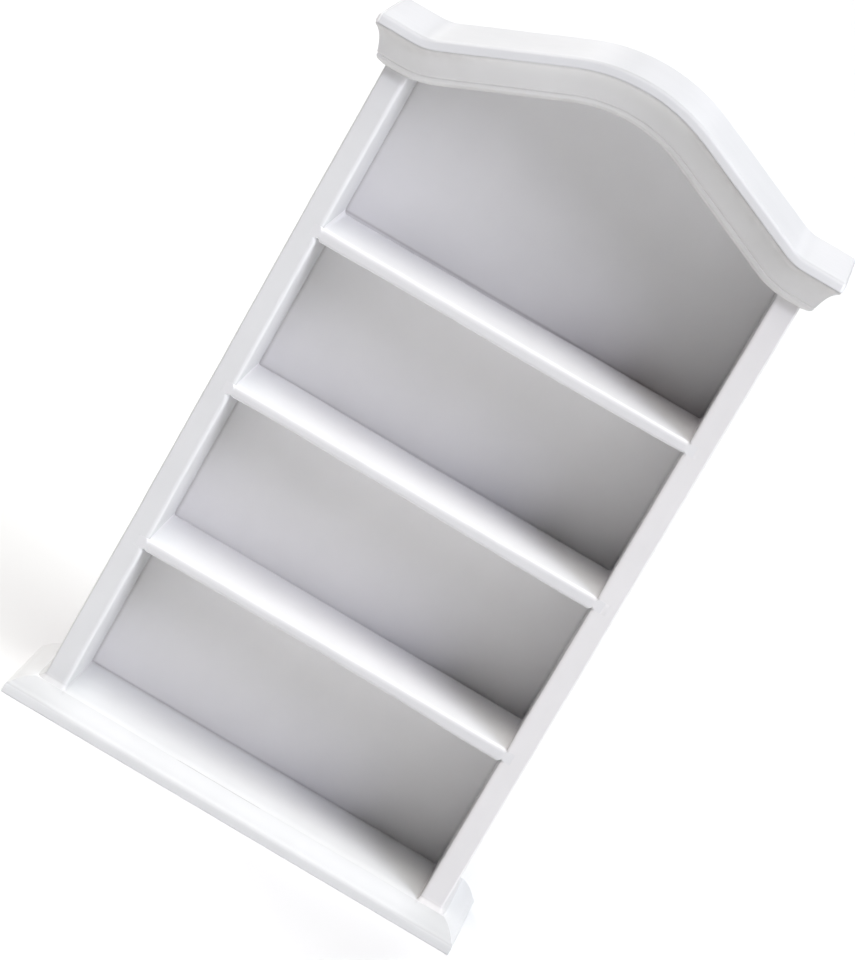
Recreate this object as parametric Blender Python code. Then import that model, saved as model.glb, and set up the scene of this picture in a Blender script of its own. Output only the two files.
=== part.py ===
"""A dolls' house bookcase at one twelfth scale, in satin white paint.

An open case of four equal compartments stands on a moulded base and carries
a serpentine crown. Two side panels hold three housed shelves and a rabbeted
back panel. The crown is a thin cap board over a cove and bead moulding that
follows the same curve and turns the corners with mitres.

Metres, +Z up, +X to the bookcase's right as it is faced, front towards -Y.
The origin is the middle of the space the bookcase fills, at floor level.
"""

import math

import bmesh
import bpy

MM = 0.001

# Clearance left wherever one piece touches another.
GAP = 0.3 * MM

# How near a plane an edge has to lie to be picked, and how far a cutter runs past the wood.
NEAR = 0.01 * MM
CUT_OVERRUN = 5.0 * MM

# Straight steps that make up each rounded part of a section.
ARRIS_STEPS = 3
SHELF_ARRIS_STEPS = 2
NOSE_STEPS = 4
COVE_STEPS = 6
BEAD_STEPS = 5
LIP_STEPS = 3
SLOPE_STEPS = 5

# The case.
CASE_WIDTH = 91.0 * MM
SIDE_THICKNESS = 5.0 * MM
INTERIOR_DEPTH = 24.0 * MM
BACK_THICKNESS = 0.8 * MM
DADO_DEPTH = 2.0 * MM
RABBET_WIDTH = 2.5 * MM
ARRIS_RADIUS = 0.5 * MM

# The shelves, from the lowest to the highest.
SHELF_NAMES = ("lower_shelf", "middle_shelf", "upper_shelf")
SHELF_THICKNESS = 2.4 * MM
SHELF_PITCH = 35.7 * MM
SHELF_ARRIS = 0.3 * MM

# The base board, and the moulding planted round it.
BASE_HEIGHT = 5.0 * MM
BASE_LEDGE = 1.1 * MM
BASE_PROJECTION = 5.5 * MM
BASE_LIP_HEIGHT = 2.3 * MM
BASE_LIP_ROUND = 0.35 * MM
BASE_MOULDING_HEIGHT = 4.85 * MM
BASE_SLOPE_CROWN = 0.45 * MM

# The crown. The arch is the line of the cap board's underside.
CROWN_PROJECTION = 5.3 * MM
CAP_UNDERSIDE = 152.6 * MM
CAP_THICKNESS = 2.1 * MM
CAP_NOSE_RADIUS = 1.0 * MM
ARCH_RISE = 14.2 * MM
CREST_RADIUS = 36.0 * MM
VALLEY_RADIUS = 12.0 * MM
ARCH_SLOPE = math.radians(23.5)
CREST_STEPS = 16
VALLEY_STEPS = 6

# The crown moulding's section, out from the case and down from the cap.
CROWN_DROP = 6.9 * MM
COVE_TOP_OUT = 4.8 * MM
COVE_TOP_DROP = 0.5 * MM
COVE_BELLY_OUT = 3.4 * MM
COVE_BELLY_DROP = 1.8 * MM
COVE_FOOT_OUT = 2.4 * MM
COVE_FOOT_DROP = 5.1 * MM
QUIRK_DEPTH = 0.35 * MM
QUIRK_HEIGHT = 0.4 * MM
BEAD_OUT = 2.3 * MM
BEAD_FOOT_OUT = 0.6 * MM
HEADER_THICKNESS = 3.0 * MM

# Places worked out from the sizes above.
HALF_WIDTH = CASE_WIDTH / 2
INNER_X = HALF_WIDTH - SIDE_THICKNESS
CASE_DEPTH = INTERIOR_DEPTH + BACK_THICKNESS
OVERALL_DEPTH = CASE_DEPTH + BASE_PROJECTION
CASE_FRONT = BASE_PROJECTION - OVERALL_DEPTH / 2
CASE_BACK = OVERALL_DEPTH / 2
BACK_PANEL_FRONT = CASE_BACK - BACK_THICKNESS
CAP_HALF_WIDTH = HALF_WIDTH + CROWN_PROJECTION

LEFT = -1
RIGHT = 1

# Paint colours, linear RGB, with roughness.
CASE_PAINT = ((0.80, 0.80, 0.79), 0.38)
SHELF_PAINT = ((0.83, 0.83, 0.82), 0.35)
BACK_PAINT = ((0.76, 0.76, 0.75), 0.42)
MOULDING_PAINT = ((0.79, 0.79, 0.78), 0.36)


def clear_scene():
    """Remove every object the file holds."""
    for item in list(bpy.data.objects):
        bpy.data.objects.remove(item, do_unlink=True)


def paint(name, finish):
    """A satin paint on wood, one material for each piece."""
    colour, roughness = finish
    material = bpy.data.materials.new(name + "_paint")
    material.use_nodes = True
    shader = material.node_tree.nodes["Principled BSDF"]
    shader.inputs["Base Color"].default_value = (*colour, 1.0)
    shader.inputs["Roughness"].default_value = roughness
    shader.inputs["Metallic"].default_value = 0.0
    return material


def add_object(name, mesh_data, finish=None):
    """Turn a bmesh into a named object with outward faces."""
    bmesh.ops.recalc_face_normals(mesh_data, faces=mesh_data.faces)
    mesh = bpy.data.meshes.new(name)
    mesh_data.to_mesh(mesh)
    mesh_data.free()
    item = bpy.data.objects.new(name, mesh)
    bpy.context.scene.collection.objects.link(item)
    if finish:
        mesh.materials.append(paint(name, finish))
    return item


def add_box(mesh_data, low, high):
    """Add a box between two corners to a bmesh and return its vertices."""
    corners = []
    for x in (low[0], high[0]):
        for y in (low[1], high[1]):
            for z in (low[2], high[2]):
                corners.append(mesh_data.verts.new((x, y, z)))
    for face in ((0, 1, 3, 2), (4, 6, 7, 5), (0, 4, 5, 1), (2, 3, 7, 6), (0, 2, 6, 4), (1, 5, 7, 3)):
        mesh_data.faces.new([corners[index] for index in face])
    return corners


def edges_where(mesh_data, test):
    """The edges whose two ends both pass a test."""
    return [edge for edge in mesh_data.edges if all(test(vertex.co) for vertex in edge.verts)]


def round_edges(mesh_data, edges, radius, segments):
    """Round the given edges."""
    bmesh.ops.bevel(mesh_data, geom=edges, offset=radius, segments=segments, profile=0.5, affect="EDGES")


def add_loft(mesh_data, rings):
    """Skin a row of rings with the same number of points and close both ends."""
    rows = [[mesh_data.verts.new(point) for point in ring] for ring in rings]
    count = len(rows[0])
    for row, following in zip(rows, rows[1:]):
        for index in range(count):
            after = (index + 1) % count
            mesh_data.faces.new((row[index], row[after], following[after], following[index]))
    mesh_data.faces.new(rows[0])
    mesh_data.faces.new(list(reversed(rows[-1])))


def add_plate(name, outline, front, back, finish):
    """Extrude an outline of (x, z) points from front to back."""
    mesh_data = bmesh.new()
    add_loft(mesh_data, [[(x, y, z) for x, z in outline] for y in (front, back)])
    return add_object(name, mesh_data, finish)


def cut(item, cutter, label):
    """Subtract a hidden cutter from a piece."""
    cutter.hide_render = True
    cutter.display_type = "WIRE"
    modifier = item.modifiers.new(label, "BOOLEAN")
    modifier.operation = "DIFFERENCE"
    modifier.solver = "EXACT"
    modifier.object = cutter


def shelf_top(index):
    """Height of a shelf's upper face, counting up from the lowest shelf."""
    return BASE_HEIGHT + SHELF_PITCH * (index + 1)


def arch_stations():
    """Points along the arch from left to right: x, height above its ends and lean."""
    turn = 1.0 - math.cos(ARCH_SLOPE)
    straight_drop = ARCH_RISE - (CREST_RADIUS + VALLEY_RADIUS) * turn
    half_span = (CREST_RADIUS + VALLEY_RADIUS) * math.sin(ARCH_SLOPE) + straight_drop / math.tan(ARCH_SLOPE)
    right = []
    for step in range(CREST_STEPS // 2 + 1):
        lean = ARCH_SLOPE * step / (CREST_STEPS // 2)
        height = ARCH_RISE - CREST_RADIUS * (1.0 - math.cos(lean))
        right.append((CREST_RADIUS * math.sin(lean), height, lean))
    for step in range(VALLEY_STEPS + 1):
        lean = ARCH_SLOPE * (1.0 - step / VALLEY_STEPS)
        height = VALLEY_RADIUS * (1.0 - math.cos(lean))
        right.append((half_span - VALLEY_RADIUS * math.sin(lean), height, lean))
    left = [(-x, height, -lean) for x, height, lean in reversed(right[1:])]
    return left + right


def arch_line(offset, reach):
    """The arch moved along its normal, run out level to x = -reach and +reach."""
    points = [(-reach, CAP_UNDERSIDE + offset)]
    for x, height, lean in arch_stations():
        across = x + offset * math.sin(lean)
        if abs(across) < reach:
            points.append((across, CAP_UNDERSIDE + height + offset * math.cos(lean)))
    points.append((reach, CAP_UNDERSIDE + offset))
    return points


def make_side_panel(name, side):
    """A side panel, housed for the shelves and rabbeted for the back."""
    faces = sorted((side * INNER_X, side * HALF_WIDTH))
    mesh_data = bmesh.new()
    low = (faces[0], CASE_FRONT, BASE_HEIGHT + GAP)
    high = (faces[1], CASE_BACK, CAP_UNDERSIDE - GAP)
    add_box(mesh_data, low, high)
    front = edges_where(mesh_data, lambda co: co.y < CASE_FRONT + NEAR)
    upright = [edge for edge in front if edge.verts[0].co.x == edge.verts[1].co.x]
    round_edges(mesh_data, upright, ARRIS_RADIUS, ARRIS_STEPS)
    panel = add_object(name, mesh_data, CASE_PAINT)

    dados = bmesh.new()
    for index in range(len(SHELF_NAMES)):
        walls = sorted((side * (INNER_X - CUT_OVERRUN), side * (INNER_X + DADO_DEPTH)))
        underside = shelf_top(index) - SHELF_THICKNESS
        add_box(
            dados,
            (walls[0], CASE_FRONT - CUT_OVERRUN, underside - GAP),
            (walls[1], CASE_BACK + CUT_OVERRUN, shelf_top(index) + GAP),
        )
    cut(panel, add_object(name + "_dado_cutter", dados), "shelf housings")

    rabbet = bmesh.new()
    walls = sorted((side * (INNER_X - CUT_OVERRUN), side * (INNER_X + RABBET_WIDTH)))
    add_box(
        rabbet,
        (walls[0], BACK_PANEL_FRONT - GAP, -CUT_OVERRUN),
        (walls[1], CASE_BACK + CUT_OVERRUN, CAP_UNDERSIDE + CUT_OVERRUN),
    )
    cut(panel, add_object(name + "_rabbet_cutter", rabbet), "back rabbet")


def make_shelf(name, index):
    """A fixed shelf whose ends sit in the sides' housings."""
    reach = INNER_X + DADO_DEPTH - GAP
    top = shelf_top(index)
    mesh_data = bmesh.new()
    low = (-reach, CASE_FRONT, top - SHELF_THICKNESS)
    high = (reach, BACK_PANEL_FRONT - GAP, top)
    add_box(mesh_data, low, high)
    front = edges_where(mesh_data, lambda co: co.y < CASE_FRONT + NEAR)
    level = [edge for edge in front if edge.verts[0].co.z == edge.verts[1].co.z]
    round_edges(mesh_data, level, SHELF_ARRIS, SHELF_ARRIS_STEPS)
    add_object(name, mesh_data, SHELF_PAINT)


def make_back_panel():
    """A thin back whose top follows the arch up to the cap board."""
    reach = INNER_X + RABBET_WIDTH - GAP
    foot = BASE_HEIGHT + GAP
    outline = [(-reach, foot), (reach, foot)] + list(reversed(arch_line(-GAP, reach)))
    add_plate("back_panel", outline, BACK_PANEL_FRONT, CASE_BACK, BACK_PAINT)


def make_header():
    """The arched rail between the side panels that carries the crown moulding."""
    reach = INNER_X - GAP
    outline = arch_line(-CROWN_DROP, reach) + list(reversed(arch_line(-GAP, reach)))
    add_plate("arched_header", outline, CASE_FRONT, CASE_FRONT + HEADER_THICKNESS, CASE_PAINT)


def make_cap():
    """The serpentine cap board with a bullnose on its front and both ends."""
    outline = arch_line(0.0, CAP_HALF_WIDTH) + list(reversed(arch_line(CAP_THICKNESS, CAP_HALF_WIDTH)))
    front = CASE_FRONT - CROWN_PROJECTION
    mesh_data = bmesh.new()
    add_loft(mesh_data, [[(x, y, z) for x, z in outline] for y in (front, CASE_BACK)])
    along_front = edges_where(mesh_data, lambda co: co.y < front + NEAR)
    along_ends = edges_where(mesh_data, lambda co: abs(co.x) > CAP_HALF_WIDTH - NEAR)
    level_ends = [edge for edge in along_ends if edge.verts[0].co.z == edge.verts[1].co.z]
    round_edges(mesh_data, list(set(along_front + level_ends)), CAP_NOSE_RADIUS, NOSE_STEPS)
    add_object("crown_cap", mesh_data, MOULDING_PAINT)


def quadratic(start, control, end, steps):
    """Points along a quadratic curve."""
    points = []
    for step in range(steps + 1):
        t = step / steps
        s = 1.0 - t
        first = s * s * start[0] + 2.0 * s * t * control[0] + t * t * end[0]
        second = s * s * start[1] + 2.0 * s * t * control[1] + t * t * end[1]
        points.append((first, second))
    return points


def crown_section():
    """The cove, quirk and bead as (out, drop) points, from the top of the back round."""
    cove_top = (COVE_TOP_OUT, COVE_TOP_DROP)
    cove_foot = (COVE_FOOT_OUT, COVE_FOOT_DROP)
    cove_belly = (COVE_BELLY_OUT, COVE_BELLY_DROP)
    section = [(GAP, GAP), (COVE_TOP_OUT, GAP)]
    section += quadratic(cove_top, cove_belly, cove_foot, COVE_STEPS)
    section.append((COVE_FOOT_OUT - QUIRK_DEPTH, COVE_FOOT_DROP + QUIRK_HEIGHT / 2))
    bead_top = (BEAD_OUT, COVE_FOOT_DROP + QUIRK_HEIGHT)
    bead_foot = (BEAD_FOOT_OUT, CROWN_DROP)
    section += quadratic(bead_top, (BEAD_OUT, CROWN_DROP), bead_foot, BEAD_STEPS)
    section.append((GAP, CROWN_DROP))
    return section


def base_section():
    """The base moulding as (out, height) points, from the foot of the back round."""
    back = BASE_LEDGE + GAP
    lip_top = BASE_LIP_HEIGHT - BASE_LIP_ROUND
    slope_foot = (BASE_PROJECTION - BASE_LIP_ROUND, BASE_LIP_HEIGHT)
    slope_top = (back + GAP, BASE_MOULDING_HEIGHT)
    middle = ((slope_foot[0] + slope_top[0]) / 2, (slope_foot[1] + slope_top[1]) / 2)
    crowned = (middle[0] + BASE_SLOPE_CROWN, middle[1] + 2.0 * BASE_SLOPE_CROWN)
    section = [(back, 0.0), (BASE_PROJECTION, 0.0)]
    section += quadratic((BASE_PROJECTION, lip_top), (BASE_PROJECTION, BASE_LIP_HEIGHT), slope_foot, LIP_STEPS)
    section += quadratic(slope_foot, crowned, slope_top, SLOPE_STEPS)[1:]
    section.append((back, BASE_MOULDING_HEIGHT))
    return section


def make_crown_front():
    """The arched cove and bead, mitred at both ends."""
    section = crown_section()
    end_ring = [(HALF_WIDTH + out, CAP_UNDERSIDE - drop) for out, drop in section]
    rings = [[(-x, z) for x, z in end_ring]]
    for x, height, lean in arch_stations():
        foot = CAP_UNDERSIDE + height
        rings.append([(x - drop * math.sin(lean), foot - drop * math.cos(lean)) for out, drop in section])
    rings.append(end_ring)
    mesh_data = bmesh.new()
    solid = []
    for ring in rings:
        solid.append([(x, CASE_FRONT - out, z) for (x, z), (out, drop) in zip(ring, section)])
    add_loft(mesh_data, solid)
    add_object("crown_front_moulding", mesh_data, MOULDING_PAINT)


def make_return(name, side, section):
    """A straight moulding along one side, mitred at the front."""
    mitre = GAP * math.sqrt(2.0)
    rings = []
    for front in (True, False):
        ring = []
        for out, height in section:
            y = CASE_FRONT - out + mitre if front else CASE_BACK
            ring.append((side * (HALF_WIDTH + out), y, height))
        rings.append(ring)
    mesh_data = bmesh.new()
    add_loft(mesh_data, rings)
    add_object(name, mesh_data, MOULDING_PAINT)


def make_base():
    """The base board, which is also the lowest compartment's floor."""
    mesh_data = bmesh.new()
    reach = HALF_WIDTH + BASE_LEDGE
    add_box(mesh_data, (-reach, CASE_FRONT - BASE_LEDGE, 0.0), (reach, CASE_BACK, BASE_HEIGHT))
    add_object("base_board", mesh_data, CASE_PAINT)


def make_base_front():
    """The moulding along the base's front, mitred at both ends."""
    section = base_section()
    rings = []
    for side in (LEFT, RIGHT):
        ring = [(side * (HALF_WIDTH + out), CASE_FRONT - out, height) for out, height in section]
        rings.append(ring)
    mesh_data = bmesh.new()
    add_loft(mesh_data, rings)
    add_object("base_front_moulding", mesh_data, MOULDING_PAINT)


def main():
    """Build the bookcase from the floor up."""
    clear_scene()
    make_base()
    make_base_front()
    for name, side in (("left", LEFT), ("right", RIGHT)):
        make_return("base_" + name + "_moulding", side, base_section())
    for name, side in (("left", LEFT), ("right", RIGHT)):
        make_side_panel(name + "_side_panel", side)
    for index, name in enumerate(SHELF_NAMES):
        make_shelf(name, index)
    make_back_panel()
    make_header()
    make_crown_front()
    crown = [(out, CAP_UNDERSIDE - drop) for out, drop in crown_section()]
    for name, side in (("left", LEFT), ("right", RIGHT)):
        make_return("crown_" + name + "_return", side, crown)
    make_cap()


main()
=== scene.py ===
"""Looks for the dolls' house bookcase: white satin paint over wood.

Every CAD node is replaced by a finer mesh of the same piece. Arrises are rounded, paint
closes most of the joints, and the boards and mouldings are a little uneven, as a
hand-made miniature's are. Metres, +Z up, front towards -Y.
"""

import math

import bpy
import bmesh
import numpy as np
from mathutils import Matrix, Vector, noise


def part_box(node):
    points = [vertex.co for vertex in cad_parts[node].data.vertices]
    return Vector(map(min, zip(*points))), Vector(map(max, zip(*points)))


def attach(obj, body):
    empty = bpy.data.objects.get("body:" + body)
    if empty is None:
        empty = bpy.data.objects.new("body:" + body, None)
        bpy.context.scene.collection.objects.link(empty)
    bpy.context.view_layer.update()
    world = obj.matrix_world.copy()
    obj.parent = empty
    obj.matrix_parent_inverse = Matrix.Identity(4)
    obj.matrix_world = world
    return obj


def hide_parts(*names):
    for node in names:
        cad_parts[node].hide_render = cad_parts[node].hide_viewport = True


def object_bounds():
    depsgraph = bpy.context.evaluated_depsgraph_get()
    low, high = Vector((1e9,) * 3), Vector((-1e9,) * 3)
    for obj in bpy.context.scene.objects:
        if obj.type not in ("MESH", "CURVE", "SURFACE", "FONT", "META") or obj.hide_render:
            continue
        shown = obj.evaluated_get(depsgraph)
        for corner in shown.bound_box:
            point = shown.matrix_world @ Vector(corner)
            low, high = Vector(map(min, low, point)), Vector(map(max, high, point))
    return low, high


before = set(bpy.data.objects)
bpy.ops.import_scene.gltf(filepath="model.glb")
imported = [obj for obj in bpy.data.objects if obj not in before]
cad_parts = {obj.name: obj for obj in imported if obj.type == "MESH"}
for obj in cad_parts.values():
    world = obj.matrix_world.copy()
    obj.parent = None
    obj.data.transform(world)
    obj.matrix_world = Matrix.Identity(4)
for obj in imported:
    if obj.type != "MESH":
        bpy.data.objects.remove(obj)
cad_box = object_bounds()

MM = 0.001
LEFT = -1
RIGHT = 1

# Unseeded noise starts from the clock, and the boards would differ from one run to the next.
UNEVENNESS_SEED = 4
noise.seed_set(UNEVENNESS_SEED)

# ---------------------------------------------------------------- places read from the frame

side_low, side_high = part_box("right_side_panel")
INNER_X = side_low.x
HALF_WIDTH = side_high.x
CASE_FRONT = side_low.y
CASE_BACK = side_high.y

board_low, board_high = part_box("base_board")
BASE_TOP = board_high.z
BASE_LEDGE = board_high.x - HALF_WIDTH

base_low, base_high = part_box("base_front_moulding")
BASE_PROJECTION = base_high.x - HALF_WIDTH

panel_low, panel_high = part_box("back_panel")
BACK_FRONT = panel_low.y

cap_low, cap_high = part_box("crown_cap")
CAP_UNDERSIDE = cap_low.z
CAP_REACH = cap_high.x
CAP_PROJECTION = CASE_FRONT - cap_low.y

header_low, header_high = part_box("arched_header")
HEADER_BACK = header_high.y
CROWN_DROP = CAP_UNDERSIDE - header_low.z

SHELVES = ("lower_shelf", "middle_shelf", "upper_shelf")
shelf_low, shelf_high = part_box("lower_shelf")
SHELF_PITCH = shelf_high.z - BASE_TOP

# ---------------------------------------------------------------- shapes and tones

# The arch is the line of the cap's underside.
CAP_THICKNESS = 2.1 * MM
NOSE_ROUND = 0.8 * MM
NOSE_FOOT = 0.30 * MM
MOULDING_DROP = CROWN_DROP + 0.25 * MM
ARCH_RISE = cap_high.z - cap_low.z - CAP_THICKNESS
CREST_RADIUS = 36.0 * MM
VALLEY_RADIUS = 12.0 * MM
ARCH_SLOPE = math.radians(23.5)

# Joinery. A sharp corner is one that paint has hardly softened.
DADO_DEPTH = 2.0 * MM
RABBET_WIDTH = 2.5 * MM
PAINT_LAP = 0.05 * MM
SHARP = 0.02 * MM
SHADED_SMOOTH = math.radians(38)

# The mesh attribute that holds how dark a vertex is painted: painted shade on the crown and under its
# bead, a darker foot on the sides, and dirt in the base's hairline.
SHADE_AND_SOIL = "shade_and_soil"
# The colour laid over painted shade and over the dirt in the joints, and the most of it that is laid
# on.
SHADE_AND_DIRT_COLOUR = (0.20, 0.175, 0.17, 1.0)
SHADE_AND_DIRT_DEPTH = 0.48
CREVICE_WIDTH = 0.8 * MM
# How dark the line behind each level board is, from the base board up.
TIER_LINES = (0.62, 0.22, 0.42, 0.68)
TIER_SLACK = 0.04
CREVICE_SLACK = 0.15 * MM

# Paint tones, as shares of a board's own colour: on edges that face the front, on the
# insides and outsides of the sides, at the foot and the head of the case, at the base's two
# ends, on the ledge in front of the case, on a shelf's housed ends and on the arch's slopes.
# They are painted light and shade as well as unevenness in the paint.
EVEN = {
    "front": 0.885, "inside": 1.0, "outside": 1.0, "foot": 1.0, "head": 1.0, "ends": 1.0,
    "ledge": 1.0, "housed": 1.0, "left_slope": 1.0, "right_slope": 1.0,
}


# ---------------------------------------------------------------- sections and lofts

def section(corners, arc_steps, runs):
    """A closed outline through (u, v, radius) corners.

    Each corner is an arc of arc_steps steps. runs holds how many points lie on the
    straight from each corner to the next, closer together near its ends.
    """
    points = []
    count = len(corners)
    ends = []
    for index, (u, v, radius) in enumerate(corners):
        here = np.array((u, v))
        before = np.array(corners[index - 1][:2]) - here
        after = np.array(corners[(index + 1) % count][:2]) - here
        before /= np.linalg.norm(before)
        after /= np.linalg.norm(after)
        half = math.acos(max(-1.0, min(1.0, float(before @ after)))) / 2
        middle = before + after
        middle /= np.linalg.norm(middle)
        centre = here + middle * radius / math.sin(half)
        start = here + before * radius / math.tan(half) - centre
        finish = here + after * radius / math.tan(half) - centre
        first = math.atan2(start[1], start[0])
        turn = math.atan2(finish[1], finish[0]) - first
        turn = (turn + math.pi) % (2 * math.pi) - math.pi
        arc = []
        for step in range(arc_steps + 1):
            angle = first + turn * step / arc_steps
            arc.append(centre + radius * np.array((math.cos(angle), math.sin(angle))))
        ends.append(arc)
    for index, arc in enumerate(ends):
        points += arc
        following = ends[(index + 1) % count][0]
        for step in range(1, runs[index] + 1):
            share = 0.5 - 0.5 * math.cos(math.pi * step / (runs[index] + 1))
            points.append(arc[-1] * (1 - share) + following * share)
    return np.array(points)


def quadratic(start, control, end, steps):
    """Points along a quadratic curve."""
    t = np.linspace(0.0, 1.0, steps + 1)[:, None]
    start, control, end = np.array(start), np.array(control), np.array(end)
    return (1 - t) ** 2 * start + 2 * (1 - t) * t * control + t * t * end


def outward(outline):
    """Unit normals of a closed outline, pointing out of it."""
    ahead = np.roll(outline, -1, axis=0) - np.roll(outline, 1, axis=0)
    normals = np.stack((ahead[:, 1], -ahead[:, 0]), axis=1)
    normals /= np.maximum(np.linalg.norm(normals, axis=1), 1e-12)[:, None]
    x, y = outline[:, 0], outline[:, 1]
    area = np.sum(x * np.roll(y, -1) - np.roll(x, -1) * y)
    return normals if area > 0 else -normals


def smooth_step(value):
    """0 below 0, 1 above 1, and a soft ramp between."""
    value = np.clip(value, 0.0, 1.0)
    return value * value * (3.0 - 2.0 * value)


def stops(low, high, pitch, extra=()):
    """Sorted stations from low to high at about one pitch, with extra ones put in."""
    count = max(2, int(round((high - low) / pitch)) + 1)
    values = set(np.linspace(low, high, count).round(7))
    for value in extra:
        if low < value < high:
            values.add(round(float(value), 7))
    return sorted(values)


def warp(points):
    """The slight unevenness of hand-made boards.

    It is the same for every piece, so that joints stay shut. It dies away towards the faces
    of the CAD box, which stay flat.
    """
    low, high = np.array(cad_box[0]), np.array(cad_box[1])
    inside = np.minimum(points - low, high - points)
    ease = smooth_step(inside / (2.5 * MM))
    moved = points.copy()
    for size, amount in ((34.0 * MM, 0.11 * MM), (8.0 * MM, 0.05 * MM), (2.6 * MM, 0.012 * MM)):
        field = np.array([noise.noise_vector(Vector(p) / size) for p in points])
        moved += field * amount * ease
    return moved


def add_mesh(name, vertices, faces, material, replaced, shade_and_soil=None):
    """A closed mesh that stands for one CAD node. The last argument holds the painted shade and dirt
    at each vertex.
    """
    mesh = bpy.data.meshes.new(name)
    mesh.from_pydata([tuple(v) for v in warp(np.asarray(vertices, float))], [], faces)
    tidy = bmesh.new()
    tidy.from_mesh(mesh)
    bmesh.ops.recalc_face_normals(tidy, faces=tidy.faces)
    tidy.to_mesh(mesh)
    tidy.free()
    if shade_and_soil is not None:
        amounts = np.asarray(shade_and_soil, np.float32).ravel()
        mesh.attributes.new(SHADE_AND_SOIL, "FLOAT", "POINT").data.foreach_set("value", amounts)
    mesh.shade_smooth()
    mesh.set_sharp_from_angle(angle=SHADED_SMOOTH)
    mesh.materials.append(material)
    piece = bpy.data.objects.new(name, mesh)
    bpy.context.scene.collection.objects.link(piece)
    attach(piece, "root")
    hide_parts(replaced)
    return piece


def loft(rings):
    """Vertices and faces of a skin over rings with the same number of points.

    Both ends are closed.
    """
    rings = np.asarray(rings, float)
    rows, count = rings.shape[0], rings.shape[1]
    vertices = rings.reshape(-1, 3)
    faces = []
    for row in range(rows - 1):
        for index in range(count):
            after = (index + 1) % count
            base = row * count
            faces.append((base + index, base + after, base + count + after, base + count + index))
    faces.append(tuple(range(count)))
    faces.append(tuple(reversed(range((rows - 1) * count, rows * count))))
    return vertices, faces


# ---------------------------------------------------------------- the arch

def arch_stations(pitch=0.8 * MM):
    """Points along the arch from left to right: x, height above its ends, lean."""
    turn = 1.0 - math.cos(ARCH_SLOPE)
    straight_drop = ARCH_RISE - (CREST_RADIUS + VALLEY_RADIUS) * turn
    straight_run = straight_drop / math.tan(ARCH_SLOPE)
    half_span = (CREST_RADIUS + VALLEY_RADIUS) * math.sin(ARCH_SLOPE) + straight_run
    right = []
    steps = int(CREST_RADIUS * ARCH_SLOPE / pitch)
    for step in range(steps + 1):
        lean = ARCH_SLOPE * step / steps
        fall = CREST_RADIUS * (1 - math.cos(lean))
        right.append((CREST_RADIUS * math.sin(lean), ARCH_RISE - fall, lean))
    x0, h0, _ = right[-1]
    steps = int(straight_run / pitch)
    for step in range(1, steps):
        share = step / steps
        right.append((x0 + straight_run * share, h0 - straight_drop * share, ARCH_SLOPE))
    steps = int(VALLEY_RADIUS * ARCH_SLOPE / pitch) * 2
    for step in range(steps + 1):
        lean = ARCH_SLOPE * (1.0 - step / steps)
        height = VALLEY_RADIUS * (1 - math.cos(lean))
        right.append((half_span - VALLEY_RADIUS * math.sin(lean), height, lean))
    left = [(-x, height, -lean) for x, height, lean in reversed(right[1:])]
    return left + right


ARCH = arch_stations()
ARCH_END = ARCH[-1][0]


def arch_height(x, offset):
    """Height above the floor of the arch moved by offset along its normal, at x."""
    across = [s[0] + offset * math.sin(s[2]) for s in ARCH]
    height = [CAP_UNDERSIDE + s[1] + offset * math.cos(s[2]) for s in ARCH]
    return float(np.interp(x, across, height))


# ---------------------------------------------------------------- paint

def node(tree, kind, **inputs):
    """A shader node with some of its inputs set."""
    made = tree.nodes.new(kind)
    for name, value in inputs.items():
        made.inputs[name.replace("_", " ")].default_value = value
    return made


def maths(tree, operation, *values):
    """A maths node. Each value is a number or another node's output."""
    made = tree.nodes.new("ShaderNodeMath")
    made.operation = operation
    for socket, value in zip(made.inputs, values):
        if isinstance(value, (int, float)):
            socket.default_value = value
        else:
            tree.links.new(value, socket)
    return made.outputs[0]


def nearness(tree, first, second, reach):
    """1 on the line where two distances are both nothing, fading to 0 at a reach from it."""
    squares = [maths(tree, "MULTIPLY", distance, distance) for distance in (first, second)]
    away = maths(tree, "DIVIDE", maths(tree, "SQRT", maths(tree, "ADD", *squares)), reach)
    return maths(tree, "MAXIMUM", maths(tree, "SUBTRACT", 1.0, away), 0.0)


def ramp(tree, value, low, high, start, finish):
    """A soft step from start to finish as a value goes from low to high."""
    made = tree.nodes.new("ShaderNodeMapRange")
    made.interpolation_type = "SMOOTHSTEP"
    for name, number in zip(("From Min", "From Max", "To Min", "To Max"), (low, high, start, finish)):
        made.inputs[name].default_value = number
    tree.links.new(value, made.inputs["Value"])
    return made.outputs["Result"]


def tier_strength(tree, tier):
    """How dark the line behind a tier's level board is."""
    strength = tree.nodes.new("ShaderNodeValToRGB")
    strength.color_ramp.interpolation = "CONSTANT"
    bands = strength.color_ramp.elements
    tiers = len(TIER_LINES)
    for index, darkness in enumerate(TIER_LINES):
        start = max((index - 0.5) / tiers, 0.0)
        band = bands[index] if index < 2 else bands.new(start)
        band.position = start
        band.color = (darkness, darkness, darkness, 1.0)
    tree.links.new(maths(tree, "DIVIDE", tier, float(tiers)), strength.inputs["Fac"])
    return strength.outputs["Color"]


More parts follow.
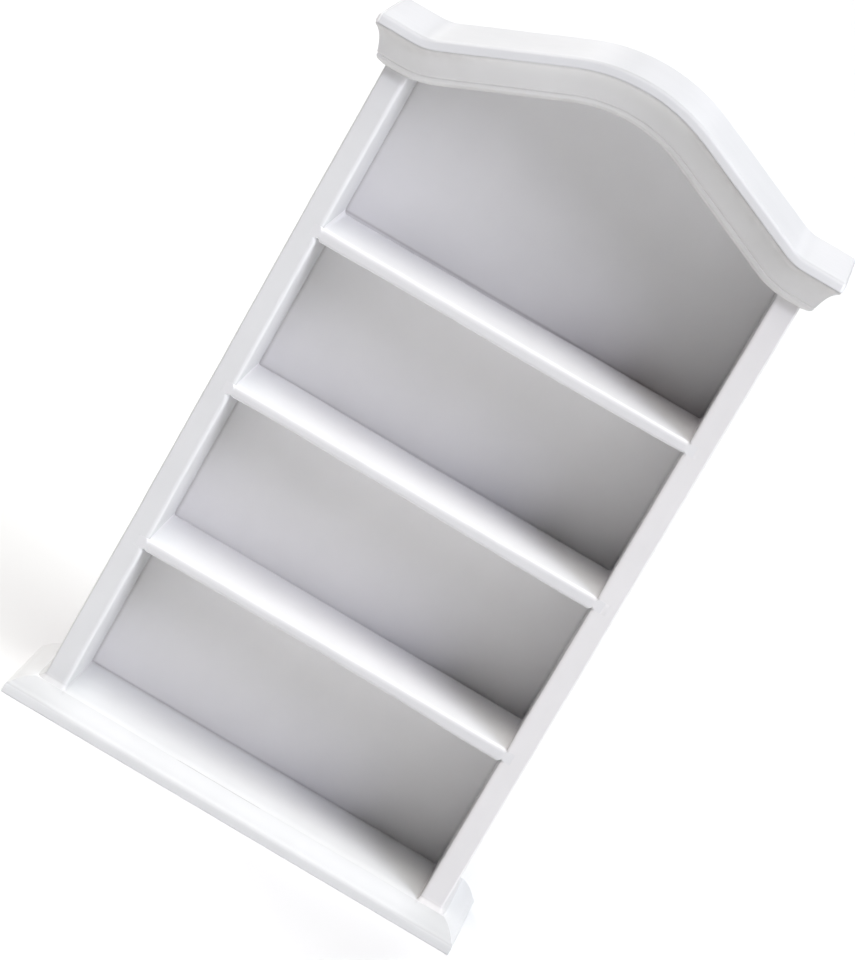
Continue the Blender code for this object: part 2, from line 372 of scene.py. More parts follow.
def crevices(tree, place, wobble):
    """How deep in a corner of a compartment a point lies, from 0 to 1.

    The corners are where the back, the sides and the level boards meet. The level boards
    repeat at one pitch: the base board is tier 0 and the upper shelf is tier 3.
    """
    apart = tree.nodes.new("ShaderNodeSeparateXYZ")
    tree.links.new(place, apart.inputs[0])
    across, deep, high = apart.outputs
    side = maths(tree, "SUBTRACT", INNER_X, maths(tree, "ABSOLUTE", across))
    rear = maths(tree, "SUBTRACT", BACK_FRONT, deep)
    height = maths(tree, "SUBTRACT", high, BASE_TOP)
    level = maths(tree, "ADD", maths(tree, "DIVIDE", height, SHELF_PITCH), TIER_SLACK)
    tier = maths(tree, "MINIMUM", maths(tree, "FLOOR", level), float(len(SHELVES)))
    board = maths(tree, "MULTIPLY", tier, SHELF_PITCH)
    above = maths(tree, "ABSOLUTE", maths(tree, "SUBTRACT", height, board))

    spread = maths(tree, "MULTIPLY", wobble, CREVICE_WIDTH)
    sideways = ramp(tree, across, -INNER_X, INNER_X, 0.55, 0.38)
    corner = maths(tree, "MULTIPLY", sideways, nearness(tree, side, rear, spread))
    narrow = maths(tree, "MULTIPLY", 1.5, above)
    deepened = maths(tree, "MULTIPLY", 0.35, rear)
    near_line = nearness(tree, narrow, deepened, spread)
    line = maths(tree, "MULTIPLY", tier_strength(tree, tier), near_line)
    line = maths(tree, "MULTIPLY", line, ramp(tree, across, 0.0, INNER_X, 1.0, 0.6))
    end_line = maths(tree, "MULTIPLY", 0.35, nearness(tree, side, above, spread))
    deepest = maths(tree, "MAXIMUM", maths(tree, "MAXIMUM", corner, line), end_line)
    ahead_of_back = maths(tree, "GREATER_THAN", rear, -CREVICE_SLACK)
    between_sides = maths(tree, "GREATER_THAN", side, -CREVICE_SLACK)
    within = maths(tree, "MULTIPLY", ahead_of_back, between_sides)
    return maths(tree, "MULTIPLY", deepest, within)


def light_shade_and_paint_tone(tree, coordinates, tones):
    """Painted light and shade, and unevenness in the paint: the paint's tone from place to place, as
    a share of its colour.
    """
    facing = tree.nodes.new("ShaderNodeSeparateXYZ")
    tree.links.new(coordinates.outputs["Normal"], facing.inputs[0])
    place = tree.nodes.new("ShaderNodeSeparateXYZ")
    tree.links.new(coordinates.outputs["Object"], place.inputs[0])
    x, y, z = place.outputs
    ahead = maths(tree, "MULTIPLY", facing.outputs["Y"], -1.0)
    inward = maths(tree, "MULTIPLY", maths(tree, "MULTIPLY", facing.outputs["X"], x), -1.0 / INNER_X)
    outlying = maths(tree, "ABSOLUTE", x)
    ends = ramp(tree, outlying, 34.0 * MM, HALF_WIDTH + BASE_LEDGE, 1.0, tones["ends"])
    shares = (
        ramp(tree, ahead, 0.55, 0.97, 1.0, tones["front"]),
        ramp(tree, inward, 0.6, 0.95, 1.0, tones["inside"]),
        ramp(tree, inward, -0.95, -0.6, tones["outside"], 1.0),
        ramp(tree, facing.outputs["X"], -0.36, -0.10, tones["left_slope"], 1.0),
        ramp(tree, facing.outputs["X"], 0.10, 0.36, 1.0, tones["right_slope"]),
        ramp(tree, z, BASE_TOP, CAP_UNDERSIDE, tones["foot"], tones["head"]),
        maths(tree, "MAXIMUM", ramp(tree, ahead, 0.55, 0.97, 0.0, 1.0), ends),
        ramp(tree, y, CASE_FRONT - 0.2 * MM, CASE_FRONT + 3.0 * MM, tones["ledge"], 1.0),
        ramp(tree, outlying, INNER_X - 0.8 * MM, INNER_X + 0.3 * MM, 1.0, tones["housed"]),
    )
    tone = shares[0]
    for share in shares[1:]:
        tone = maths(tree, "MULTIPLY", tone, share)
    return tone


def texture(tree, place, scale, detail, roughness):
    """Noise from 0 to 1, with this many lumps to the metre."""
    made = node(tree, "ShaderNodeTexNoise", Scale=scale, Detail=detail, Roughness=roughness)
    tree.links.new(place, made.inputs["Vector"])
    return made.outputs["Fac"]


def mottled(tree, cloud, colour):
    """A colour that is a little darker where the cloud is low."""
    shade = tree.nodes.new("ShaderNodeValToRGB")
    low, high = shade.color_ramp.elements
    low.position = 0.30
    low.color = (*(c * 0.965 for c in colour), 1.0)
    high.position = 0.70
    high.color = (*colour, 1.0)
    tree.links.new(cloud, shade.inputs["Fac"])
    return shade.outputs["Color"]


def shaded_and_dirtied(tree, place, ragged, clean):
    """A clean colour with dirt over it in the crevices, and painted shade and dirt where the mesh's
    attribute says.
    """
    wobble = maths(tree, "ADD", 0.45, maths(tree, "MULTIPLY", ragged, 1.1))
    shade_and_grime = tree.nodes.new("ShaderNodeMapRange")
    shade_and_grime.interpolation_type = "SMOOTHSTEP"
    shade_and_grime.inputs["To Max"].default_value = SHADE_AND_DIRT_DEPTH
    shade_and_soil = tree.nodes.new("ShaderNodeAttribute")
    shade_and_soil.attribute_name = SHADE_AND_SOIL
    shade_and_soiling = maths(tree, "MULTIPLY", shade_and_soil.outputs["Fac"], maths(tree, "ADD", 0.55, ragged))
    deepest = maths(tree, "MAXIMUM", crevices(tree, place, wobble), shade_and_soiling)
    tree.links.new(deepest, shade_and_grime.inputs["Value"])
    mix = tree.nodes.new("ShaderNodeMix")
    mix.data_type = "RGBA"
    tree.links.new(shade_and_grime.outputs["Result"], mix.inputs["Factor"])
    tree.links.new(clean, mix.inputs["A"])
    mix.inputs["B"].default_value = SHADE_AND_DIRT_COLOUR
    return mix.outputs["Result"]


def brushed(tree, streak, stipple):
    """The normal of paint with brush ridges and a fine orange peel."""
    ridges = node(tree, "ShaderNodeBump", Strength=0.10, Distance=0.00005)
    tree.links.new(streak, ridges.inputs["Height"])
    peel = node(tree, "ShaderNodeBump", Strength=0.12, Distance=0.00003)
    tree.links.new(stipple, peel.inputs["Height"])
    tree.links.new(ridges.outputs["Normal"], peel.inputs["Normal"])
    return peel.outputs["Normal"]


def paint(name, colour, roughness, grain, **tones):
    """Brushed satin paint. grain is the axis the brush and the wood's grain run along.

    tones takes the place of some of the even tones.
    """
    material = bpy.data.materials.new(name)
    material.use_nodes = True
    tree = material.node_tree
    tree.nodes.clear()
    link = tree.links.new
    output = tree.nodes.new("ShaderNodeOutputMaterial")
    shader = node(tree, "ShaderNodeBsdfPrincipled")
    shader.inputs["Specular IOR Level"].default_value = 0.35
    coordinates = tree.nodes.new("ShaderNodeTexCoord")
    place = coordinates.outputs["Object"]

    stretch = tree.nodes.new("ShaderNodeMapping")
    stretch.inputs["Scale"].default_value = [0.06 if axis == grain else 1.0 for axis in "xyz"]
    link(place, stretch.inputs["Vector"])
    cloud = texture(tree, place, 70.0, 3.0, 0.55)
    streak = texture(tree, stretch.outputs["Vector"], 900.0, 2.0, 0.5)
    stipple = texture(tree, place, 2600.0, 2.0, 0.5)
    ragged = texture(tree, place, 320.0, 2.0, 0.6)

    # Painted light and shade: the mottled colour is scaled by the tone for each place and facing.
    worn_and_shaded = tree.nodes.new("ShaderNodeVectorMath")
    worn_and_shaded.operation = "SCALE"
    link(mottled(tree, cloud, colour), worn_and_shaded.inputs[0])
    link(light_shade_and_paint_tone(tree, coordinates, {**EVEN, **tones}), worn_and_shaded.inputs["Scale"])

    gloss = tree.nodes.new("ShaderNodeMapRange")
    gloss.inputs["To Min"].default_value = roughness - 0.07
    gloss.inputs["To Max"].default_value = roughness + 0.07
    link(streak, gloss.inputs["Value"])

    link(shaded_and_dirtied(tree, place, ragged, worn_and_shaded.outputs["Vector"]), shader.inputs["Base Color"])
    link(gloss.outputs["Result"], shader.inputs["Roughness"])
    link(brushed(tree, streak, stipple), shader.inputs["Normal"])
    link(shader.outputs["BSDF"], output.inputs["Surface"])
    return material


# All the boards carry one white paint. The colours below differ from board to board as painted light
# and shade: the cap, crown and base are darker, the base's ends lighter than its front, the shelves
# and back lighter, and the right side warmer than the case. The tones given to each paint are painted
# light and shade too.
CASE_COLOUR = (0.792, 0.797, 0.798)
SIDES = {
    LEFT: paint("left_side_paint", CASE_COLOUR, 0.50, "z", front=0.87, inside=0.84, outside=0.90),
    RIGHT: paint(
        "right_side_paint", (0.801, 0.792, 0.790), 0.50, "z",
        inside=0.61, outside=0.86, foot=1.06,
    ),
}
HEADER = paint("header_paint", CASE_COLOUR, 0.50, "x")
BOARD = paint("board_paint", CASE_COLOUR, 0.50, "x", ledge=1.07, ends=0.87)
SHELF = paint("shelf_paint", (0.851, 0.850, 0.855), 0.48, "x", front=0.795, housed=1.045)
BACK = paint("back_paint", (0.890, 0.880, 0.877), 0.52, "z", foot=1.12, head=0.96)
CROWN = {
    axis: paint("crown_paint_" + axis, (0.701, 0.697, 0.684), 0.50, axis) for axis in "xy"
}
CAP = paint(
    "cap_paint", (0.560, 0.563, 0.570), 0.50, "x",
    front=1.14, ends=1.07, left_slope=1.30, right_slope=1.18,
)
BASE = {
    "x": paint("base_paint_x", (0.749, 0.755, 0.756), 0.50, "x", front=0.945, ends=0.84),
    "y": paint("base_paint_y", (0.773, 0.777, 0.778), 0.50, "y"),
}


# ---------------------------------------------------------------- the case

def shelf_box(name):
    """Underside and top of a shelf."""
    low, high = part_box(name)
    return low.z, high.z


def paint_fillet(distance, radius):
    """How far paint gathered in a corner stands out, at a distance from the corner."""
    left = radius - min(max(distance, 0.0), radius)
    return radius - math.sqrt(radius ** 2 - left ** 2)


def paint_wedge(rise, size):
    """How far filler and paint stand out at the foot of a side, as a short slope."""
    left = size - rise
    return (left + math.sqrt(left ** 2 + (0.15 * size) ** 2)) / 2


def side_plan(front_in, front_radius, rear_radius):
    """A right side seen from above, rabbeted for the back. front_in is where its inner face is."""
    shoulder = BACK_FRONT - 0.15 * MM
    corners = [
        (front_in, CASE_FRONT, front_radius),
        (HALF_WIDTH, CASE_FRONT, 0.45 * MM),
        (HALF_WIDTH, CASE_BACK, 0.25 * MM),
        (INNER_X + RABBET_WIDTH, CASE_BACK, 0.12 * MM),
        (INNER_X + RABBET_WIDTH, shoulder, SHARP),
        (front_in, shoulder, rear_radius),
    ]
    return section(corners, 6, (10, 26, 4, 3, 6, 26))


def side_heights(bands):
    """Heights of a side's rings, closer together at its foot and head and near the shelves."""
    extra = []
    for underside, top in bands:
        for drop in (0.1, 0.25, 0.45, 0.7, 1.0, 1.4, 1.9, 2.5):
            extra.append(underside - drop * MM)
        for rise in (0.1, 0.25, 0.45, 0.8):
            extra.append(top + rise * MM)
    for rise in (0.03, 0.08, 0.15, 0.25, 0.38, 0.55, 0.75, 1.0, 1.3, 1.6, 2.0):
        extra.append(BASE_TOP + rise * MM)
    for drop in (0.0, 0.4, 0.8, 1.2, 1.6, 2.0, 2.5):
        extra.append(CAP_UNDERSIDE - MOULDING_DROP - drop * MM)
    return stops(BASE_TOP - PAINT_LAP, CAP_UNDERSIDE, 1.6 * MM, extra)


def open_rings(plain, bands, flare):
    """A side's rings between its housings, as (height, ring) pairs.

    Paint gathers at the foot, and the inner arris flares out by the given amount as it comes
    down to a shelf.
    """
    normals = outward(plain)
    near_front = smooth_step(1.0 - (plain[:, 1] - CASE_FRONT) / (1.4 * MM))
    near_inner = smooth_step(1.0 - (plain[:, 0] - INNER_X) / (1.4 * MM))
    corner = near_front * near_inner
    open_faces = np.maximum(-normals[:, 1], 0.0) + np.maximum(normals[:, 0], 0.0)
    inner_face = np.maximum(-normals[:, 0], 0.0) * (1.0 - open_faces)
    off_back = smooth_step((CASE_BACK - plain[:, 1]) / (2.0 * MM))

    rings = []
    for z in side_heights(bands):
        if any(underside < z < top for underside, top in bands):
            continue
        rise = z - BASE_TOP
        swell = paint_wedge(rise, 0.95 * MM) * np.minimum(open_faces, 1.0)
        swell = swell + paint_fillet(rise, 0.3 * MM) * inner_face
        ring = plain + normals * (swell * off_back)[:, None]
        for underside, top in bands:
            if z <= underside:
                worn_and_shaded = flare * float(smooth_step(1.0 - (underside - z) / (1.5 * MM))) ** 2
                ring = ring + np.stack((corner * worn_and_shaded, corner * worn_and_shaded * 0.25), axis=1)
        rings.append((z, ring))
    return rings


def side_darkening(vertices):
    """Painted shade under the crown's bead and a darker foot, on a side's front edge."""
    below = CAP_UNDERSIDE - MOULDING_DROP - vertices[:, 2]
    above = vertices[:, 2] - BASE_TOP
    gathered = 0.6 + 0.4 * smooth_step(below / (0.7 * MM))
    under_bead = smooth_step((2.8 * MM - below) / (1.6 * MM)) * gathered
    at_foot = smooth_step((1.25 * MM - above) / (0.3 * MM))
    at_front = vertices[:, 1] < CASE_FRONT + 0.3 * MM
    return np.maximum(0.50 * under_bead, 0.42 * at_foot) * at_front


def make_side_panel(side):
    """A side, housed for the shelves and rabbeted for the back, as rings up its height."""
    inner_arris = 1.0 * MM if side == LEFT else 0.6 * MM
    flare = 0.40 * MM if side == LEFT else 0.25 * MM
    plain = side_plan(INNER_X, inner_arris, 0.45 * MM)
    notched = side_plan(INNER_X + DADO_DEPTH, SHARP, SHARP)
    bands = [shelf_box(name) for name in SHELVES]
    heights = side_heights(bands)
    rings = open_rings(plain, bands, flare)
    for underside, top in bands:
        level = [z for z in heights if underside < z < top] or [(underside + top) / 2]
        last = [ring for z, ring in rings if z < underside][-1]
        first = [ring for z, ring in rings if z > top][0]
        rings += [(underside - 0.002 * MM, last), (underside, notched), (top, notched)]
        rings += [(z, notched) for z in level]
        rings.append((top + 0.002 * MM, first))
    rings.sort(key=lambda item: item[0])
    solid = [[(side * x, y, z) for x, y in ring] for z, ring in rings]
    vertices, faces = loft(solid)
    name = "left_side_panel" if side == LEFT else "right_side_panel"
    shade_and_soil = side_darkening(vertices)
    return add_mesh("painted_" + name, vertices, faces, SIDES[side], name, shade_and_soil)


# Each shelf, in millimetres: how much its underside is hollowed along the middle, how far its
# underside hangs below the CAD's at places from left to right, and how much its rear edge has
# sunk there.
ALONG = np.array((-40.0, -34.0, -16.6, -1.2, 14.3, 29.7, 40.0)) * MM
HANGS = {
    "lower_shelf": (
        0.42,
        (0.22, 0.20, 0.44, 0.44, 0.62, 0.70, 0.60),
        (0.0, 0.0, 0.0, 0.0, 0.0, 0.0, 0.0),
    ),
    "middle_shelf": (
        0.34,
        (0.14, 0.06, 0.44, 0.40, 0.68, 0.64, 0.48),
        (0.0, 0.0, 0.10, 0.22, 0.15, 0.12, 0.12),
    ),
    "upper_shelf": (
        0.12,
        (0.50, 0.49, 0.44, 0.53, 0.53, 0.35, 0.12),
        (0.55, 0.55, 0.42, 0.38, 0.0, 0.0, 0.0),
    ),
}


# Where a shelf's sections lie near the mouth of a housing, in millimetres into it.
HOUSING_STEPS = (-0.9, -0.6, -0.4, -0.28, -0.18, -0.1, -0.04, 0.0, 0.1, 0.25, 0.4, 0.6, 0.8, 1.1)


def make_shelf(name):
    """A shelf whose ends run into the sides' housings, with paint gathered where it meets them."""
    hollow, hangs, sinks = HANGS[name]
    underside, top = shelf_box(name)
    reach = INNER_X + DADO_DEPTH
    back = BACK_FRONT - 0.2 * MM
    extra = []
    for side in (LEFT, RIGHT):
        for step in HOUSING_STEPS:
            extra.append(side * (INNER_X + step * MM))
    rings = []
    for x in stops(-reach, reach, 1.6 * MM, extra):
        beyond = abs(x) - INNER_X
        fade = float(1.0 - smooth_step((beyond + 0.1 * MM) / (0.9 * MM)))
        clear = float(smooth_step(-beyond / (0.6 * MM)))
        top_arris = (0.02 + (1.18 - 0.25 * float(smooth_step(x / INNER_X))) * fade) * MM
        low_arris = (0.02 + 0.63 * fade) * MM
        lift = paint_fillet(-beyond, 0.42 * MM)
        thin = hollow * MM * float(smooth_step(-beyond / (24.0 * MM)))
        thin -= float(np.interp(x, ALONG, hangs)) * MM * clear
        sunk = float(np.interp(x, ALONG, sinks)) * MM * clear
        corners = [
            (CASE_FRONT, underside + thin, low_arris),
            (CASE_FRONT, top, top_arris),
            (back, top - sunk, 0.45 * MM),
            (back, underside, 0.15 * MM),
        ]
        ring = section(corners, 6, (3, 22, 3, 22))
        inside = smooth_step((ring[:, 0] - CASE_FRONT) / (0.8 * MM))
        upper = smooth_step((ring[:, 1] - (underside + top) / 2) / (0.8 * MM))
        rise = lift * 0.9 * inside * upper if beyond < 0 else np.zeros(len(ring))
        rings.append([(x, y, z + up) for (y, z), up in zip(ring, rise)])
    vertices, faces = loft(rings)
    return add_mesh("painted_" + name, vertices, faces, SHELF, name)


def make_back_panel():
    """The thin back, whose top follows the arch, as rings from left to right."""
    reach = INNER_X + RABBET_WIDTH - 0.1 * MM
    foot = BASE_TOP - PAINT_LAP
    rings = []
    for x in stops(-reach, reach, 1.6 * MM):
        head = arch_height(x, 0.0) + PAINT_LAP
        ring = []
        for share in np.linspace(0.0, 1.0, 90):
            ring.append((x, BACK_FRONT, foot + (head - foot) * share))
        for share in np.linspace(1.0, 0.0, 90):
            ring.append((x, CASE_BACK, foot + (head - foot) * share))
        rings.append(ring)
    vertices, faces = loft(rings)
    return add_mesh("painted_back_panel", vertices, faces, BACK, "back_panel")


def along_arch(points, x, height, lean):
    """Places (out, offset) points square to the arch at one station."""
    foot = CAP_UNDERSIDE + height
    placed = []
    for out, offset in points:
        placed.append((x + offset * math.sin(lean), CASE_FRONT - out, foot + offset * math.cos(lean)))
    return placed


def make_header():
    """The arched rail behind the crown moulding."""
    depth = HEADER_BACK - CASE_FRONT
    corners = [
        (0.0, 0.0, SHARP),
        (-depth, 0.0, SHARP),
        (-depth, -CROWN_DROP, 0.3 * MM),
        (0.0, -CROWN_DROP, SHARP),
    ]
    outline = section(corners, 4, (3, 5, 3, 5))
    edge = INNER_X + PAINT_LAP
    ends = []
    for x in (-edge, edge):
        ends.append([(x, CASE_FRONT - out, arch_height(x, offset)) for out, offset in outline])
    rings = [ends[0]]
    for x, height, lean in ARCH:
        if abs(x) + CROWN_DROP * math.sin(abs(lean)) < INNER_X - 0.5 * MM:
            rings.append(along_arch(outline, x, height, lean))
    rings.append(ends[1])
    vertices, faces = loft(rings)
    return add_mesh("painted_arched_header", vertices, faces, HEADER, "arched_header")


# ---------------------------------------------------------------- the crown

def crown_section():
    """The cove, quirk and bead as (out, offset) points, from the top of the back round."""
    shoulder = (5.14 * MM, 0.02 * MM)
    cove_top = (4.66 * MM, 0.62 * MM)
    cove_foot = (2.44 * MM, 5.20 * MM)
    bead_top = (2.30 * MM, 5.66 * MM)
    bead_foot = (1.46 * MM, 6.68 * MM)
    points = [(-PAINT_LAP, 0.0), (5.04 * MM, 0.0)]
    points += list(quadratic(shoulder, (5.04 * MM, 0.34 * MM), cove_top, 6))
    points += list(quadratic(cove_top, (3.30 * MM, 1.75 * MM), cove_foot, 24))[1:]
    points += list(quadratic(cove_foot, (2.10 * MM, 5.46 * MM), bead_top, 7))[1:]
    points += list(quadratic(bead_top, (2.16 * MM, 6.42 * MM), bead_foot, 9))[1:]
    points += list(quadratic(bead_foot, (0.90 * MM, 6.92 * MM), (0.35 * MM, MOULDING_DROP), 5))[1:]
    points.append((-PAINT_LAP, MOULDING_DROP))
    return [(out, -drop) for out, drop in points]


def crown_painted_shade(outline, flatness, x):
    """Painted shade under the nose, in the quirk and under the bead.

    flatness is 0 on the arch and 1 on the flat ends. The arch's right flank has the most.
    """
    flank = float(smooth_step((x - 4.0 * MM) / (14.0 * MM))) * (1.0 - flatness)
    drop = -np.array([offset for out, offset in outline])
    strength = 0.14 + 0.32 * flatness + 0.36 * flank
    least = 0.20 * flatness
    under_nose = least + (strength - least) * smooth_step(1.0 - drop / (2.8 * MM))
    bead_foot = 0.38 * smooth_step((drop - 6.0 * MM) / (0.6 * MM))
    quirk = 0.24 * smooth_step(1.0 - np.abs(drop - 5.45 * MM) / (0.8 * MM))
    return np.maximum(np.maximum(under_nose, quirk), bead_foot)


def between(first, second, shares):
    """Rings part of the way from one ring to another."""
    first, second = np.array(first), np.array(second)
    return [first * (1 - share) + second * share for share in shares]


def make_crown_front():
    """The arched moulding, mitred at both ends."""
    outline = crown_section()
    left_end = []
    for out, offset in outline:
        left_end.append((-(HALF_WIDTH + out), CASE_FRONT - out, CAP_UNDERSIDE + offset))
    right_end = [(-x, y, z) for x, y, z in left_end]
    arch = [along_arch(outline, *station) for station in ARCH]
    rings = [left_end] + between(left_end, arch[0], (0.15, 0.4, 0.7)) + arch
    rings += between(arch[-1], right_end, (0.3, 0.6, 0.85)) + [right_end]
    vertices, faces = loft(rings)
    # Painted shade on the moulding, set ring by ring.
    shade_and_soil = []
    for ring in rings:
        rise = max(point[2] for point in ring) - CAP_UNDERSIDE
        flatness = float(1.0 - smooth_step(rise / (0.7 * ARCH_RISE)))
        shade_and_soil.append(crown_painted_shade(outline, flatness, ring[0][0]))
    node_name = "crown_front_moulding"
    return add_mesh("painted_crown_front", vertices, faces, CROWN["x"], node_name, shade_and_soil)


def make_return(name, side, outline, top, material):
    """A straight moulding along one side, mitred at the front."""
    rings = []
    for share in np.linspace(0.0, 1.0, 22):
        ring = []
        for out, offset in outline:
            front = CASE_FRONT - out
            y = front + (CASE_BACK - front) * share
            ring.append((side * (HALF_WIDTH + out), y, top + offset))
        rings.append(ring)
    vertices, faces = loft(rings)
    return add_mesh("painted_" + name, vertices, faces, material, name)


def cap_section(inset):
    """The cap board's section as (out, offset) points: a rounded nose and a square back."""
    depth = CASE_BACK - CASE_FRONT
    radius = max(NOSE_ROUND - inset, SHARP)
    lower = inset * NOSE_FOOT / NOSE_ROUND
    corners = [
        (-depth, lower, SHARP),
        (CAP_PROJECTION - inset, lower, max(NOSE_FOOT - lower, SHARP)),
        (CAP_PROJECTION - inset, CAP_THICKNESS - inset, radius),
        (-depth, CAP_THICKNESS - inset, SHARP),
    ]
    return section(corners, 7, (24, 3, 24, 3))


def make_cap():
    """The serpentine cap board with a rounded nose round its front and ends."""
    flat_start = CAP_REACH - NOSE_ROUND
    nose = []
    for angle in np.linspace(0.0, math.pi / 2, 7):
        x = flat_start + NOSE_ROUND * math.cos(angle)
        nose.append((x, NOSE_ROUND * (1 - math.sin(angle))))
    flat = [flat_start + (ARCH_END - flat_start) * share for share in (0.25, 0.5, 0.75)]
    rings = [along_arch(cap_section(inset), -x, 0.0, 0.0) for x, inset in nose]
    rings += [along_arch(cap_section(0.0), -x, 0.0, 0.0) for x in flat]
    rings += [along_arch(cap_section(0.0), *station) for station in ARCH]
    rings += [along_arch(cap_section(0.0), x, 0.0, 0.0) for x in reversed(flat)]
    rings += [along_arch(cap_section(inset), x, 0.0, 0.0) for x, inset in reversed(nose)]
    vertices, faces = loft(rings)
    return add_mesh("painted_crown_cap", vertices, faces, CAP, "crown_cap")


# ---------------------------------------------------------------- the base

def base_section():
    """The base moulding as (out, height) points, from the foot of the back round."""
    back = BASE_LEDGE
    front = BASE_PROJECTION
    lip = 2.3 * MM
    round_off = 0.8 * MM
    arris = 0.15 * MM
    slope_top = (back + 0.03 * MM, BASE_TOP - 0.01 * MM)
    slope_foot = (front - round_off, lip + 0.3 * MM)
    middle_out = (slope_foot[0] + slope_top[0]) / 2 + 0.32 * MM
    middle_height = (slope_foot[1] + slope_top[1]) / 2 + 0.62 * MM
    points = [(back - PAINT_LAP, 0.0), (front - arris, 0.0), (front, arris)]
    for share in (0.35, 0.7):
        points.append((front, arris + (lip - round_off - arris) * share))
    points += list(quadratic((front, lip - round_off), (front, lip - 0.05 * MM), slope_foot, 8))
    points += list(quadratic(slope_foot, (middle_out, middle_height), slope_top, 14))[1:]
    points.append((back - PAINT_LAP, BASE_TOP - 0.02 * MM))
    return points


def make_base_board():
    """The base board, which is also the lowest compartment's floor."""
    reach = HALF_WIDTH + BASE_LEDGE
    corners = [
        (CASE_FRONT - BASE_LEDGE, 0.0, SHARP),
        (CASE_FRONT - BASE_LEDGE, BASE_TOP, 0.04 * MM),
        (CASE_BACK, BASE_TOP, 0.2 * MM),
        (CASE_BACK, 0.0, 0.2 * MM),
    ]
    outline = section(corners, 4, (4, 24, 4, 24))
    rings = []
    for x in stops(-reach, reach, 1.6 * MM):
        rings.append([(x, y, z) for y, z in outline])
    vertices, faces = loft(rings)
    return add_mesh("painted_base_board", vertices, faces, BOARD, "base_board")


# Where the joint between the base board and its moulding shows through the paint, across it.
HAIRLINE = (-14.0 * MM, 5.0 * MM)


def make_base_front():
    """The moulding along the base's front, mitred at both ends."""
    outline = base_section()
    rings = []
    shade_and_soil = []
    top = [z > BASE_TOP - 0.08 * MM for out, z in outline]
    for share in np.linspace(-1.0, 1.0, 80):
        rings.append([(share * (HALF_WIDTH + out), CASE_FRONT - out, z) for out, z in outline])
        cracked = HAIRLINE[0] < share * HALF_WIDTH < HAIRLINE[1]
        shade_and_soil.append([0.75 * float(cracked and high) for high in top])
    vertices, faces = loft(rings)
    node_name = "base_front_moulding"
    return add_mesh("painted_base_front", vertices, faces, BASE["x"], node_name, shade_and_soil)


for side in (LEFT, RIGHT):
    make_side_panel(side)
for shelf in SHELVES:
    make_shelf(shelf)
make_back_panel()
make_header()
make_crown_front()
for side, word in ((LEFT, "left"), (RIGHT, "right")):
    make_return("crown_" + word + "_return", side, crown_section(), CAP_UNDERSIDE, CROWN["y"])
    make_return("base_" + word + "_moulding", side, base_section(), 0.0, BASE["y"])
make_cap()
make_base_board()
make_base_front()


# ---------------------------------------------------------------- floor, light and camera

LIT_POINT = Vector((0.0, 0.0, 0.085))
LAMP_DISTANCE = 2.6
LAMP_SIZE = 1.3
# Name, azimuth, elevation, watts and colour.
LAMPS = (
    ("top", 0.0, 72.0, 34.5, (0.95, 1.03, 0.99)),
    ("left_rear", -125.0, 35.0, 28.0, (1.0, 1.0, 0.99)),
    ("left", -80.0, 40.0, 9.0, (1.10, 0.97, 0.93)),
    ("key", 48.0, 34.0, 26.9, (0.94, 0.95, 1.12)),
    ("low_key", 66.0, 24.0, 25.2, (1.02, 1.01, 0.98)),
    ("left_top", -30.0, 64.0, 8.7, (1.20, 0.93, 0.92)),
)
# Name, place, target, size, watts and colour of the lamp over the floor behind.
FLOOR_LAMP = (
    "floor_light", Vector((0.0, 2.6, 1.7)), Vector((0.0, 1.3, 0.0)), 2.0, 33.0, (0.98, 0.985, 1.04),
)
FLOOR_HALF = 8.0

CAMERA_PLACE = Vector((0.02571, -0.82941, 0.29349))
CAMERA_YAW = math.radians(-1.74)
CAMERA_PITCH = math.radians(-14.62)
CAMERA_ROLL = math.radians(30.02)
CAMERA_LENS = 164.66775


def make_floor():
    """A wide pale floor."""
    mesh = bpy.data.meshes.new("floor")
    half = FLOOR_HALF
    corners = [(-half, -half, 0), (half, -half, 0), (half, half, 0), (-half, half, 0)]
    mesh.from_pydata(corners, [], [(0, 1, 2, 3)])
    floor = bpy.data.objects.new("floor", mesh)
    bpy.context.scene.collection.objects.link(floor)
    material = bpy.data.materials.new("floor_white")
    material.use_nodes = True
    shader = material.node_tree.nodes["Principled BSDF"]
    shader.inputs["Base Color"].default_value = (0.84, 0.84, 0.84, 1.0)
    shader.inputs["Roughness"].default_value = 0.9
    shader.inputs["Specular IOR Level"].default_value = 0.1
    mesh.materials.append(material)


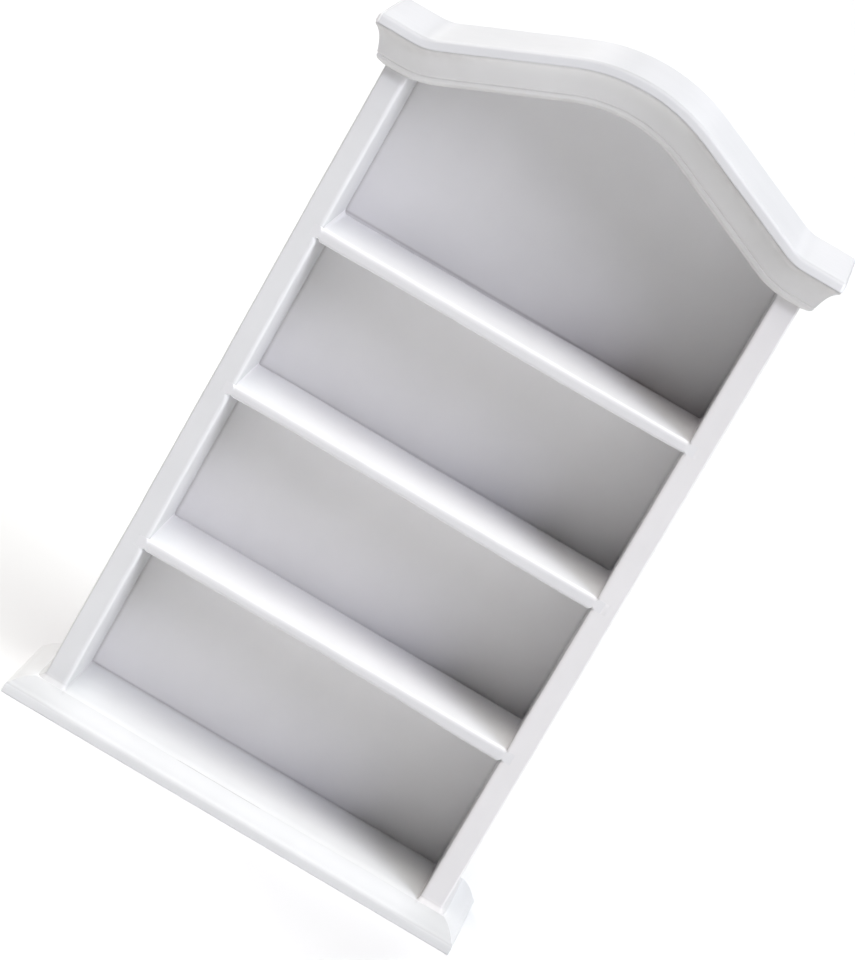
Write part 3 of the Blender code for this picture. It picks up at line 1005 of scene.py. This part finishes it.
def soft_box(name, azimuth, elevation, power, colour):
    """A round soft light on the case. Azimuth 0 is straight in front and 90 to the right."""
    a, e = math.radians(azimuth), math.radians(elevation)
    away = Vector((math.sin(a) * math.cos(e), -math.cos(a) * math.cos(e), math.sin(e)))
    hang_lamp(name, LIT_POINT + away * LAMP_DISTANCE, LIT_POINT, LAMP_SIZE, power, colour)


def hang_lamp(name, place, target, size, power, colour):
    """A round area light at a place, facing a target."""
    data = bpy.data.lights.new(name, "AREA")
    data.shape = "DISK"
    data.size = size
    data.energy = power
    data.color = colour
    lamp = bpy.data.objects.new(name, data)
    bpy.context.scene.collection.objects.link(lamp)
    lamp.location = place
    lamp.rotation_mode = "QUATERNION"
    lamp.rotation_quaternion = (place - target).to_track_quat("Z", "Y")
    lamp.visible_camera = False


def make_world():
    """A pale surround behind the floor's far edge, which sheds no light of its own."""
    world = bpy.data.worlds.new("studio")
    world.use_nodes = True
    bpy.context.scene.world = world
    shade = world.node_tree.nodes["Background"]
    shade.inputs["Color"].default_value = (1.0, 1.0, 1.0, 1.0)
    path = world.node_tree.nodes.new("ShaderNodeLightPath")
    world.node_tree.links.new(path.outputs["Is Camera Ray"], shade.inputs["Strength"])


def make_camera():
    """The camera, rolled so that the bookcase leans to the right by 30 degrees."""
    ahead = math.cos(CAMERA_PITCH)
    forward = Vector((
        math.sin(CAMERA_YAW) * ahead,
        math.cos(CAMERA_YAW) * ahead,
        math.sin(CAMERA_PITCH),
    ))
    level = Vector((math.cos(CAMERA_YAW), -math.sin(CAMERA_YAW), 0.0))
    upright = level.cross(forward)
    across = math.cos(CAMERA_ROLL) * level + math.sin(CAMERA_ROLL) * upright
    up = -math.sin(CAMERA_ROLL) * level + math.cos(CAMERA_ROLL) * upright
    data = bpy.data.cameras.new("camera")
    data.sensor_width = 36.0
    data.lens = CAMERA_LENS
    data.clip_start = 0.05
    data.clip_end = 30.0
    camera = bpy.data.objects.new("camera", data)
    bpy.context.scene.collection.objects.link(camera)
    turn = Matrix((across, up, -forward)).transposed().to_4x4()
    camera.matrix_world = Matrix.Translation(CAMERA_PLACE) @ turn
    bpy.context.scene.camera = camera


make_floor()
make_world()
for lamp in LAMPS:
    soft_box(*lamp)
hang_lamp(*FLOOR_LAMP)
make_camera()
bpy.context.scene.view_settings.view_transform = "Standard"
